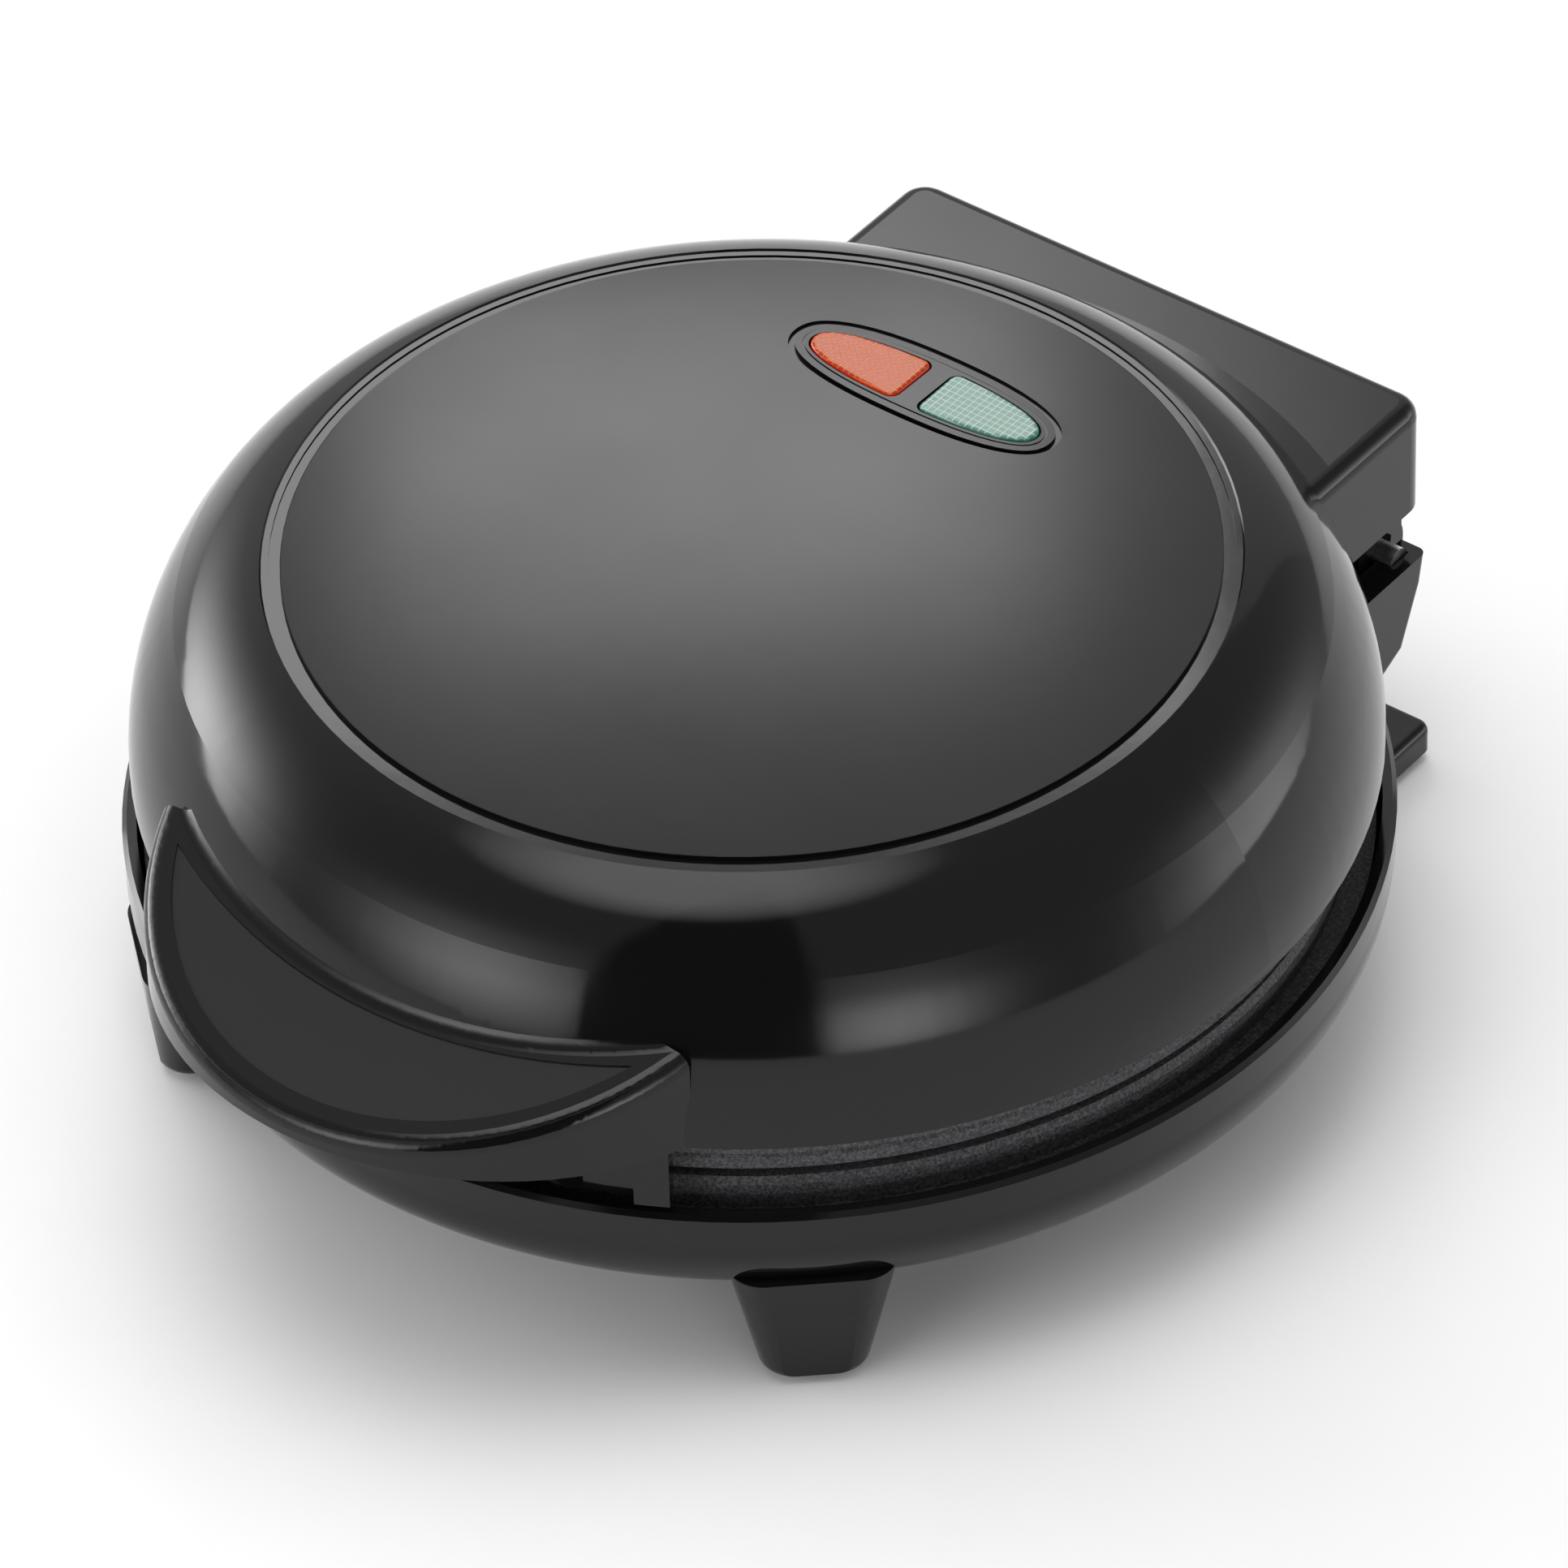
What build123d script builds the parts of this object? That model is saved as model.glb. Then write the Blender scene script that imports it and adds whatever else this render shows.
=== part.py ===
# Omelette maker: a round base on four feet, a hinged domed lid and two plates.
# Millimetres, +Z up, the table at z = 0. The body's round axis stands at x = 0,
# y = 0 while the pieces are made, and save() moves them so that the origin is
# the middle of the whole object's footprint.
import math
import os

from build123d import *

os.makedirs("parts", exist_ok=True)

# Driving dimensions: casing
lid_radius = 103.0
lid_height = 39.3
base_radius = lid_radius + 2.0
base_rim_z = 38.7
wall = 2.4
lid_edge_z = base_rim_z + 13.0
lid_top_z = lid_edge_z + lid_height
lid_rim_height = 1.5
lid_shoulder_low = 1.094 * lid_height
lid_shoulder_high = 0.763 * lid_height
crown_rise = 1.9
groove_radius = lid_radius - 24.5
groove_width = 2.0
groove_depth = 1.0
ledge_width = 1.4
ledge_drop = 0.3
crown_flat = 4.0
base_turn_z = base_rim_z - 6.7
base_floor_z = 12.0
base_floor_radius = base_radius - 22.0
base_knee_z = base_floor_z + 6.5
base_knee_inset = 10.0

# Driving dimensions: front handle, moulded with the lid
handle_reach = lid_radius + 22.0
handle_radius = 56.5
handle_tip_y = 16.0 - lid_radius
handle_panel_z = lid_edge_z + 0.466 * lid_height
handle_slope = 17.6
handle_edge_round = 3.0
skirt_bottom_z = lid_edge_z + 2.5
skirt_end_drop = 3.0
panel_recess = 0.35
panel_inner_radius = lid_radius + 0.2
panel_outer_inset = 4.6
apron_inner = lid_radius - 3.4
apron_thickness = 2.2
apron_bottom_z = base_rim_z + 0.9
apron_half_angle = 29.5
tab_angle = 3.2
tab_outer = lid_radius + 0.9
rib_pitch = 10.3
rib_count = 8
rib_thickness = 2.2
rib_toe = 2.4

# Driving dimensions: hinge
hinge_block_half = 53.0
hinge_block_back = lid_radius + 12.9
hinge_block_front = lid_radius - 43.0
hinge_block_top = lid_edge_z + 0.486 * lid_height
hinge_block_bottom = lid_edge_z - 2.2
hinge_block_round = 5.0
hinge_block_top_round = 3.0
hinge_y = lid_radius + 4.5
hinge_z = base_rim_z + 2.3
barrel_radius = 6.5
knuckle_outer = hinge_block_half - 3.5
knuckle_inner = knuckle_outer - 18.0
pin_radius = 2.5
pin_play = 0.05
pin_inner_hold = 5.6
pin_outer_hold = 3.6
pin_end_play = 0.4
hinge_gap = 0.8
side_gap = 1.0
base_block_half = hinge_block_half + 2.8
base_block_top = base_rim_z + 3.0
base_block_back = base_radius + 7.0
base_block_front = base_radius - 20.0
base_block_foot_y = base_block_back - 12.0
base_block_bottom = base_block_top - 19.7
base_block_steps = [(1.2, 5.7), (4.4, 12.7), (6.4, 17.1)]
base_block_round = 1.6
cable_well_half = 9.0
cable_well_radius = 5.6
lead_opening_half = 14.0

# Driving dimensions: plates and heaters
plate_radius = lid_radius - 5.0
plate_wall = 2.0
plate_rim_depth = 6.2
plate_flange_depth = 1.6
upper_flange = 1.1
lower_flange = 3.6
lower_face_z = base_rim_z + 1.9
upper_face_z = lower_face_z + 1.6
pocket_radius = plate_radius - 12.0
divider_half = 5.0
upper_pocket_depth = 12.0
lower_pocket_depth = 8.6
pocket_draft = 14.0
pocket_corner = 10.0
element_radius = 3.0
element_ring = 52.0
element_open_angle = 22.0
element_gap = 0.2
upper_terminal = 8.0
lower_terminal = 7.0
terminal_scale = 0.8
shield_thickness = 0.6
shield_gap = 0.4
shield_radius = pocket_radius
boss_radius = 3.6
boss_span_y = 60.0
boss_span_x = plate_radius - 6.1
screw_radius = 1.6
screw_play = 0.06
screw_bite = 6.0
screw_hole_depth = 8.0
screw_head_radius = 3.2
screw_head_height = 2.0
screw_seat = 2.6
base_post_radius = 5.0
lid_post_ring = 72.0
lid_post_angles = (45, 135, 225, 315)
lid_post_radius = 4.0
lid_post_hole = 9.0

# Driving dimensions: lamps
lamp_x = -1.8
lamp_y = 49.3
oval_fullness = 2.4
bezel_rx = 26.6
bezel_ry = 9.3
bezel_groove = 1.1
bezel_groove_depth = 0.8
bezel_bead = 1.3
bezel_line = 0.35
bezel_line_depth = 0.3
lens_rx = 23.1
lens_ry = 6.0
lens_bridge_half = 1.9
lens_corner = 2.0
lens_edge = 0.7
lens_play = 0.35
lens_rise = 0.3
lens_flange = 0.8
lens_flange_height = 1.1
holder_half_x = 26.0
holder_half_y = 7.5
holder_height = 6.5
holder_gap = 1.3
holder_post = 30.0
holder_post_radius = 2.6
holder_drop = 5.0
lamp_spread = 12.0
lamp_radius = 2.5
lamp_half = 5.5
lamp_depth = 3.4
lamp_play = 0.1

# Driving dimensions: feet
front_foot_angle = 42.0
front_foot_radius = base_radius - 10.0
front_foot_top_width = 27.5
front_foot_width = 17.5
front_foot_depth = 15.6
front_foot_corner = 6.0
front_foot_low_z = 1.2
front_foot_top_z = 24.0
front_foot_frame_z = 17.6
foot_frame = 2.4
foot_frame_depth = 0.5
pad_height = 2.0
pad_inset = 1.6
pad_corner = 2.0
rear_foot_inner = 41.0
rear_foot_outer = 59.0
rear_foot_front = base_radius - 17.0
rear_foot_back = base_radius + 5.0
rear_foot_height = 7.4
rear_foot_top_round = 1.6
foot_round = 2.4

# Driving dimensions: cord entry and the parts on the floor
gland_z = base_block_top - 10.7
gland_back = base_block_back - 4.0
gland_radius = 4.6
gland_bore = 3.0
gland_length = 5.8
gland_play = 0.05
lead_radius = 1.2
fuse_radius = 2.6
fuse_length = 16.0
clip_half = 5.0
clip_wall = 1.2
thermostat_radius = 7.0
thermostat_height = 6.0
bracket_half = 13.0
bracket_depth = 4.0
bracket_sheet = 0.8
terminal_half = 14.0
terminal_front = base_radius - 37.0
terminal_depth = 10.0
terminal_height = 6.5
terminal_pitch = 9.0
terminal_hole = 2.0

# Worked-out places
handle_centre_y = handle_radius - handle_reach
origin_shift_y = (handle_reach - hinge_block_back) / 2
shoulder_z = lid_edge_z + lid_rim_height
shoulder_sin = (lid_top_z - shoulder_z - lid_shoulder_high) / (lid_shoulder_low - lid_shoulder_high)
shoulder_turn = math.degrees(math.asin(shoulder_sin))
low_centre_r = lid_radius - lid_shoulder_low
high_centre_r = low_centre_r + (lid_shoulder_low - lid_shoulder_high) * math.cos(math.radians(shoulder_turn))
high_centre_z = shoulder_z + (lid_shoulder_low - lid_shoulder_high) * shoulder_sin
disc_radius = groove_radius - groove_width
groove_edge_z = high_centre_z + math.sqrt(lid_shoulder_high**2 - (groove_radius - high_centre_r) ** 2)
disc_edge_z = groove_edge_z - 0.2
crown_z = disc_edge_z + crown_rise
ledge_radius = groove_radius + ledge_width
ledge_edge_z = high_centre_z + math.sqrt(lid_shoulder_high**2 - (ledge_radius - high_centre_r) ** 2)
ceiling_z = groove_edge_z - groove_depth - wall + 0.7
boss_places = [(0, boss_span_y), (0, -boss_span_y), (boss_span_x, 0), (-boss_span_x, 0)]
upper_skin_z = upper_face_z + upper_pocket_depth + plate_wall
lower_skin_z = lower_face_z - lower_pocket_depth - plate_wall
upper_element_z = upper_skin_z + element_gap + element_radius
lower_element_z = lower_skin_z - element_gap - element_radius
upper_shield_z = upper_element_z + element_radius + shield_gap
lower_shield_z = lower_element_z - element_radius - shield_gap - shield_thickness
turns = [math.radians(angle) for angle in lid_post_angles]
lid_post_places = [(lid_post_ring * math.cos(turn), lid_post_ring * math.sin(turn)) for turn in turns]
base_inner_floor_z = base_floor_z + wall
far = 400.0


def save(shape, name):
    """Write one piece, moved so that the origin is the middle of the footprint."""
    export_step(shape.moved(Location((0, origin_shift_y, 0))), "parts/" + name + ".step")


def on_side(edges):
    """A closed outline drawn in radius and height, ready to be turned."""
    return Plane.XZ * make_face(edges)


def turned(edges):
    """A round solid about the body's axis."""
    return revolve(on_side(edges), Axis.Z, 360)


def block(x0, x1, y0, y1, z0, z1):
    """A plain box from its two corners."""
    return Pos((x0 + x1) / 2, (y0 + y1) / 2, (z0 + z1) / 2) * Box(x1 - x0, y1 - y0, z1 - z0)


def rod(x, y, z0, z1, radius):
    """An upright round bar from z0 to z1."""
    return Pos(x, y, (z0 + z1) / 2) * Cylinder(radius, z1 - z0)


def cross_rod(x0, x1, y, z, radius):
    """A round bar along X."""
    return Pos((x0 + x1) / 2, y, z) * Rot(0, 90, 0) * Cylinder(radius, x1 - x0)


def both_sides(shape):
    """A piece and its mirror image across the middle plane."""
    return [shape, mirror(shape, about=Plane.YZ)]


def lid_profile(inset, foot_z, top_z):
    """The lid's dome outline, drawn inset from its outer surface."""
    low = lid_shoulder_low - inset
    high = lid_shoulder_high - inset
    turn = math.radians(shoulder_turn)
    start = (low_centre_r + low, shoulder_z)
    join = (low_centre_r + low * math.cos(turn), shoulder_z + low * math.sin(turn))
    end_r = high_centre_r + math.sqrt(high**2 - (top_z - high_centre_z) ** 2)
    mid_turn = turn / 2
    mid = (low_centre_r + low * math.cos(mid_turn), shoulder_z + low * math.sin(mid_turn))
    end_turn = math.atan2(top_z - high_centre_z, end_r - high_centre_r)
    half_turn = (turn + end_turn) / 2
    high_mid = (high_centre_r + high * math.cos(half_turn), high_centre_z + high * math.sin(half_turn))
    edges = [
        Line((start[0], foot_z), start),
        ThreePointArc(start, mid, join),
        ThreePointArc(join, high_mid, (end_r, top_z)),
    ]
    return edges, (start[0], foot_z), (end_r, top_z)


def lid_cavity():
    """The space inside the dome, down past the lid's edge."""
    edges, foot, top = lid_profile(wall, lid_edge_z - 20, ceiling_z)
    edges += [Line(top, (0, ceiling_z)), Line((0, ceiling_z), (0, foot[1])), Line((0, foot[1]), foot)]
    return turned(edges)


def lid_dome():
    """The full dome with its shallow groove and the slightly crowned disc."""
    edges, foot, top = lid_profile(0, lid_edge_z, ledge_edge_z)
    groove_floor = groove_edge_z - groove_depth
    ledge_z = ledge_edge_z - ledge_drop
    crown_mid = (disc_radius + crown_flat) / 2
    crown_mid_z = disc_edge_z + crown_rise * 0.75
    edges += [
        Line(top, (ledge_radius - ledge_drop, ledge_z)),
        Line((ledge_radius - ledge_drop, ledge_z), (groove_radius, ledge_z)),
        Line((groove_radius, ledge_z), (groove_radius, groove_floor)),
        Line((groove_radius, groove_floor), (disc_radius, groove_floor)),
        Line((disc_radius, groove_floor), (disc_radius, disc_edge_z)),
        ThreePointArc((disc_radius, disc_edge_z), (crown_mid, crown_mid_z), (crown_flat, crown_z)),
        Line((crown_flat, crown_z), (0, crown_z)),
        Line((0, crown_z), (0, lid_edge_z)),
        Line((0, lid_edge_z), foot),
    ]
    return turned(edges)


def handle_plane(lower):
    """Everything below the handle's sloping top face, lowered by a given amount."""
    slab = Pos(0, 0, -far / 2) * Box(far, far, far)
    return Pos(0, handle_tip_y, handle_panel_z - lower) * Rot(handle_slope, 0, 0) * slab


def handle_outline(inset):
    """The upright round block that gives the handle its outline."""
    low_z = skirt_bottom_z - 2 * skirt_end_drop
    return rod(0, handle_centre_y, low_z, lid_top_z, handle_radius - inset)


def underside_cutter():
    """A long barrel that arches the skirt's lower edge, high in the middle."""
    radius = (handle_radius**2 + skirt_end_drop**2) / (2 * skirt_end_drop)
    bar = Rot(90, 0, 0) * Cylinder(radius, far)
    return Pos(0, 0, skirt_bottom_z - radius) * bar


def sector(half_angle, r0, r1, z0, z1):
    """A curved wall about the body's axis, centred on the front."""
    ring = rod(0, 0, z0, z1, r1) - rod(0, 0, z0 - 1, z1 + 1, r0)
    reach = 2 * r1
    side = reach * math.tan(math.radians(half_angle))
    wedge = Polyline((0, 0), (-side, -reach), (side, -reach), (0, 0))
    return ring & extrude(Pos(0, 0, z0 - 1) * make_face(wedge), z1 - z0 + 2)


def top_face_edge(body, front):
    """The long front or back edge of the handle's sloping face."""
    tilt = math.cos(math.radians(handle_slope))
    flat = [f for f in body.faces() if f.geom_type == GeomType.PLANE and abs(f.normal_at().Z - tilt) < 0.001]
    long_edges = sorted(flat[0].edges(), key=lambda edge: edge.length)[-2:]
    ordered = sorted(long_edges, key=lambda edge: (edge @ 0.5).Y)
    return ordered[0] if front else ordered[1]


def dome_with_handle():
    """The dome joined to the solid crescent handle, its long edges rounded."""
    front = block(-far, far, -far, handle_tip_y, lid_edge_z, lid_top_z)
    mass = handle_outline(0) & handle_plane(0) & front
    mass -= underside_cutter()
    body = lid_dome() + mass
    body = fillet([top_face_edge(body, False)], handle_edge_round)
    return fillet([top_face_edge(body, True)], handle_edge_round)


def handle_hollow():
    """The open space under the handle's panel, inside its skirt."""
    hollow = handle_outline(wall) & handle_plane(wall + panel_recess)
    hollow -= rod(0, 0, 0, far, lid_radius + 1.0)
    return hollow & block(-far, far, -far, handle_tip_y - wall, 0, lid_top_z)


def panel_cut():
    """The shallow crescent that sets the handle's matte panel into its face."""
    crescent = handle_outline(panel_outer_inset) & handle_plane(-1.0)
    crescent -= handle_plane(panel_recess)
    return crescent - rod(0, 0, 0, far, panel_inner_radius)


def apron():
    """The curved wall under the handle, its end tabs and the upright ribs."""
    top = lid_edge_z + 3
    pieces = [sector(apron_half_angle, apron_inner, apron_inner + apron_thickness, apron_bottom_z, top)]
    tab = sector(tab_angle / 2, apron_inner, tab_outer, apron_bottom_z, lid_edge_z + 0.5)
    for side in (-1, 1):
        pieces.append(Rot(0, 0, side * (apron_half_angle - tab_angle / 2)) * tab)
    inner_r = apron_inner + apron_thickness / 2
    foot_r = apron_inner + apron_thickness + rib_toe
    for i in range(rib_count):
        x = (i - (rib_count - 1) / 2) * rib_pitch
        y_in = -math.sqrt(inner_r**2 - x**2)
        y_foot = -math.sqrt(foot_r**2 - x**2)
        skirt = handle_radius - wall / 2
        y_out = handle_centre_y - math.sqrt(skirt**2 - x**2)
        z_top = handle_panel_z
        z_low = apron_bottom_z + 0.6
        z_out = skirt_bottom_z + 0.8
        web = Polyline(
            (y_in, z_low), (y_foot, z_low + 1.2), (y_out, z_out), (y_out, z_top), (y_in, z_top), (y_in, z_low)
        )
        rib = Pos(x, 0, 0) * extrude(Plane.YZ * make_face(web), rib_thickness / 2, both=True)
        pieces.append(rib & handle_plane(panel_recess + wall / 2))
    return pieces


def lid_hinge_block():
    """The flat-topped block behind the dome, with the two hinge knuckles."""
    half = hinge_block_half
    outer = block(-half, half, hinge_block_front, hinge_block_back, hinge_block_bottom, hinge_block_top)
    back = outer.edges().filter_by(Axis.Z).sort_by(Axis.Y)[-2:]
    outer = fillet(back, hinge_block_round)
    top_edges = outer.faces().sort_by(Axis.Z)[-1].edges()
    outer = fillet(top_edges.sort_by(Axis.Y)[1:], hinge_block_top_round)
    inner = block(
        wall - half, half - wall, hinge_block_front + 10, hinge_block_back - wall,
        hinge_block_bottom + wall, hinge_block_top - wall,
    )
    body = outer - inner
    band_y = hinge_block_back - wall
    band_top = hinge_block_bottom + 1
    body += block(-knuckle_outer, knuckle_outer, band_y - wall, band_y, hinge_z + 5, band_top)
    for side in (-1, 1):
        x0, x1 = sorted((side * knuckle_inner, side * knuckle_outer))
        leg = block(x0, x1, hinge_y - barrel_radius, band_y, hinge_z + 1.6, band_top)
        body += leg
        body += cross_rod(x0, x1, hinge_y, hinge_z, barrel_radius)
        body -= cross_rod(x0 - 1, x1 + 1, hinge_y, hinge_z, pin_radius + pin_play)
    hole_top = hinge_block_bottom + wall + 1
    body -= block(-cable_well_half, cable_well_half, hinge_y - 6, hinge_y + 3, hinge_z, hole_top)
    return body


def oval(rx, ry):
    """A full oval, rounder at its ends than an ellipse."""
    points = []
    for step in range(32):
        turn = 2 * math.pi * (step + 0.5) / 32
        x, y = math.cos(turn), math.sin(turn)
        power = 2 / oval_fullness
        points.append((math.copysign(abs(x) ** power * rx, x), math.copysign(abs(y) ** power * ry, y)))
    return make_face(Spline(*points, periodic=True))


def lens_outline(grow):
    """One lens outline on the right side: half a long oval, cut at the bridge."""
    half = Pos(lens_bridge_half - grow + far / 2, 0) * Rectangle(far, far)
    outline = oval(lens_rx + grow, lens_ry + grow) & half
    corners = outline.vertices().sort_by(Axis.X)[:2]
    return fillet(corners, lens_corner + grow)


def lens_blank(side, grow, z0, z1):
    """A lens-shaped bar on one side of the bridge."""
    bar = extrude(lens_outline(grow), z1 - z0)
    if side < 0:
        bar = mirror(bar, about=Plane.YZ)
    return Pos(lamp_x, lamp_y, z0) * bar


def lamp_face_z():
    """Height of the crowned disc at the lamps."""
    run = math.hypot(lamp_x, lamp_y) - crown_flat
    return crown_z - crown_rise * (run / (disc_radius - crown_flat)) ** 2


def lid_posts():
    """Posts under the dome that carry the heat shield and the lamp holder."""
    posts = []
    for x, y in lid_post_places:
        post = rod(x, y, upper_shield_z + shield_thickness, ceiling_z + 1, lid_post_radius)
        post -= rod(x, y, upper_shield_z, upper_shield_z + lid_post_hole, screw_radius + screw_play)
        posts.append(post)
    for dx in (-holder_post, holder_post):
        posts.append(rod(lamp_x + dx, lamp_y, ceiling_z - holder_drop, ceiling_z + 1, holder_post_radius))
    return posts


def oval_groove(inset, width, depth):
    """An oval groove around the lamps, inset from the bezel's outline."""
    rx, ry = bezel_rx - inset, bezel_ry - inset
    height = depth + crown_rise
    ring = extrude(oval(rx, ry), height) - extrude(oval(rx - width, ry - width), height)
    return Pos(lamp_x, lamp_y, lamp_face_z() - depth) * ring


def lid_shell():
    """The whole upper casing, moulded in one piece."""
    shell = dome_with_handle() + lid_hinge_block() - lid_cavity()
    half = lead_opening_half
    back = hinge_block_back - wall - 1
    shell -= block(-half, half, lid_radius - 15, back, hinge_block_bottom + wall, hinge_block_top - wall)
    shell -= handle_hollow()
    for piece in apron():
        shell += piece
    shell -= panel_cut()
    for post in lid_posts():
        shell += post
    shell -= oval_groove(0, bezel_groove, bezel_groove_depth)
    shell -= oval_groove(bezel_groove + bezel_bead, bezel_line, bezel_line_depth)
    for side in (-1, 1):
        shell -= lens_blank(side, 0, ceiling_z - 1, crown_z + 2)
    return shell


def lens(side):
    """A clear moulded lens with a flange behind its window."""
    low_z = ceiling_z - lens_flange_height - 0.1
    body = lens_blank(side, -lens_play, low_z, lamp_face_z() + lens_rise)
    edges = body.faces().sort_by(Axis.Z)[-1].edges()
    body = fillet(edges, lens_edge)
    return body + lens_blank(side, lens_flange, low_z, low_z + lens_flange_height)


def lamp_holder():
    """The tray under the lenses that grips two small lamps."""
    top = ceiling_z - holder_gap
    tray = block(
        lamp_x - holder_half_x, lamp_x + holder_half_x, lamp_y - holder_half_y, lamp_y + holder_half_y,
        top - holder_height, top,
    )
    reach = lamp_half + 0.5
    throat = lamp_radius - 0.7
    for dx in (-lamp_spread, lamp_spread):
        x = lamp_x + dx
        tray -= cross_rod(x - reach, x + reach, lamp_y, top - lamp_depth, lamp_radius + lamp_play)
        tray -= block(x - reach, x + reach, lamp_y - throat, lamp_y + throat, top - lamp_depth, top + 1)
    ear_top = ceiling_z - holder_drop
    for dx in (-holder_post, holder_post):
        x = lamp_x + dx
        tray += block(x - 6, x + 6, lamp_y - 4, lamp_y + 4, ear_top - 2, ear_top)
    return tray


def pilot_lamps():
    """Two glass lamps lying in the holder, under the lenses."""
    z = ceiling_z - holder_gap - lamp_depth
    places = (lamp_x - lamp_spread, lamp_x + lamp_spread)
    return [cross_rod(x - lamp_half, x + lamp_half, lamp_y, z, lamp_radius) for x in places]


def half_moon(grow):
    """The outline of one pocket, on the right of the divider."""
    disc = Circle(pocket_radius + grow)
    half = Pos(divider_half - grow + far / 2, 0) * Rectangle(far, far)
    outline = disc & half
    return fillet(outline.vertices(), pocket_corner + grow)


def pocket_pair(grow, z0, depth, up):
    """Both pockets as tapered solids that start at z0 and go up or down."""
    direction = 1 if up else -1
    one = extrude(half_moon(grow), depth * direction, taper=pocket_draft)
    return [Pos(0, 0, z0) * piece for piece in both_sides(one)]


def plate(face_z, depth, up):
    """A cast plate: face web, rim, two half-moon pockets and screw bosses."""
    s = 1 if up else -1
    flange_r = plate_radius + (upper_flange if up else lower_flange)
    back_z = face_z + s * (plate_rim_depth + plate_flange_depth)
    ledge_z = face_z + s * plate_rim_depth
    step_z = face_z + s * plate_rim_depth / 2
    web_z = face_z + s * plate_wall
    inner_r = plate_radius - plate_wall - 1.0
    edges = [
        Line((0, face_z), (plate_radius - 1.0, face_z)),
        Line((plate_radius - 1.0, face_z), (plate_radius, face_z + s)),
        Line((plate_radius, face_z + s), (plate_radius, step_z)),
        Line((plate_radius, step_z), (plate_radius - 0.5, step_z + s * 0.5)),
        Line((plate_radius - 0.5, step_z + s * 0.5), (plate_radius - 0.5, ledge_z)),
        Line((plate_radius - 0.5, ledge_z), (flange_r, ledge_z)),
        Line((flange_r, ledge_z), (flange_r, back_z)),
        Line((flange_r, back_z), (inner_r, back_z)),
        Line((inner_r, back_z), (inner_r, web_z)),
        Line((inner_r, web_z), (0, web_z)),
        Line((0, web_z), (0, face_z)),
    ]
    body = turned(edges)
    for skin in pocket_pair(plate_wall, face_z, depth + plate_wall, up):
        body += skin
    boss_end = upper_shield_z if up else lower_shield_z + shield_thickness
    for x, y in boss_places:
        z0, z1 = sorted((web_z - s * 0.5, boss_end))
        body += rod(x, y, z0, z1, boss_radius)
    for hollow in pocket_pair(0, face_z - s * 0.01, depth + 0.01, up):
        body -= hollow
    for x, y in boss_places:
        z0, z1 = sorted((boss_end - s * screw_hole_depth, boss_end + s))
        body -= rod(x, y, z0, z1, screw_radius + screw_play)
    return body


def element(z, up):
    """A tubular heater bent into an open ring, with two upturned ends."""
    path = CenterArc((0, 0), element_ring, 90 + element_open_angle, 360 - 2 * element_open_angle)
    start = path @ 0
    tube = sweep(Plane(origin=(start.X, start.Y, 0), z_dir=path % 0) * Circle(element_radius), path=path)
    body = Pos(0, 0, z) * tube
    s = 1 if up else -1
    length = upper_terminal if up else lower_terminal
    for x in (start.X, -start.X):
        z0, z1 = sorted((z, z + s * (length + element_radius)))
        body += rod(x, start.Y, z0, z1, element_radius * terminal_scale)
    return body, abs(start.X), start.Y


def shield(z, holes, ends):
    """A thin round reflector with holes for screws and heater ends."""
    disc = rod(0, 0, z, z + shield_thickness, shield_radius)
    for x, y in boss_places[2:]:
        x0, x1 = sorted((0.9 * x, 1.035 * x))
        disc += block(x0, x1, -6, 6, z, z + shield_thickness)
    for x, y in holes:
        disc -= rod(x, y, z - 1, z + 2, screw_radius + 0.3)
    for x, y in ends:
        disc -= rod(x, y, z - 1, z + 2, element_radius + 0.6)
    return disc


def screw(x, y, seat_z, length, up):
    """A screw whose head rests at seat_z and whose shank points up or down."""
    s = 1 if up else -1
    z0, z1 = sorted((seat_z, seat_z + s * length))
    h0, h1 = sorted((seat_z, seat_z - s * screw_head_height))
    return rod(x, y, z0, z1, screw_radius) + rod(x, y, h0, h1, screw_head_radius)


def base_outer():
    """The tub's outer form, from its rim to the stepped floor."""
    knee = (base_radius - base_knee_inset, base_knee_z)
    edges = [
        Line((0, base_floor_z), (base_floor_radius, base_floor_z)),
        Line((base_floor_radius, base_floor_z), (base_floor_radius + 3, base_floor_z + 3.5)),
        Line((base_floor_radius + 3, base_floor_z + 3.5), knee),
        ThreePointArc(knee, (base_radius - 2.7, base_knee_z + 4.9), (base_radius - 0.2, base_turn_z)),
        Line((base_radius - 0.2, base_turn_z), (base_radius, base_rim_z - 0.8)),
        Line((base_radius, base_rim_z - 0.8), (base_radius - 0.8, base_rim_z)),
        Line((base_radius - 0.8, base_rim_z), (0, base_rim_z)),
        Line((0, base_rim_z), (0, base_floor_z)),
    ]
    return turned(edges)


def base_cavity():
    """The space inside the tub."""
    knee = (base_radius - base_knee_inset - 1.6, base_knee_z + wall)
    r = base_floor_radius - wall
    edges = [
        Line((0, base_inner_floor_z), (r, base_inner_floor_z)),
        Line((r, base_inner_floor_z), (r + 3, base_inner_floor_z + 3.5)),
        Line((r + 3, base_inner_floor_z + 3.5), knee),
        ThreePointArc(knee, (base_radius - 5.0, base_knee_z + 6.6), (base_radius - wall - 0.2, base_turn_z)),
        Line((base_radius - wall - 0.2, base_turn_z), (base_radius - wall, base_rim_z)),
        Line((base_radius - wall, base_rim_z), (base_radius - wall, base_rim_z + 10)),
        Line((base_radius - wall, base_rim_z + 10), (0, base_rim_z + 10)),
        Line((0, base_rim_z + 10), (0, base_inner_floor_z)),
    ]
    return turned(edges)


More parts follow.
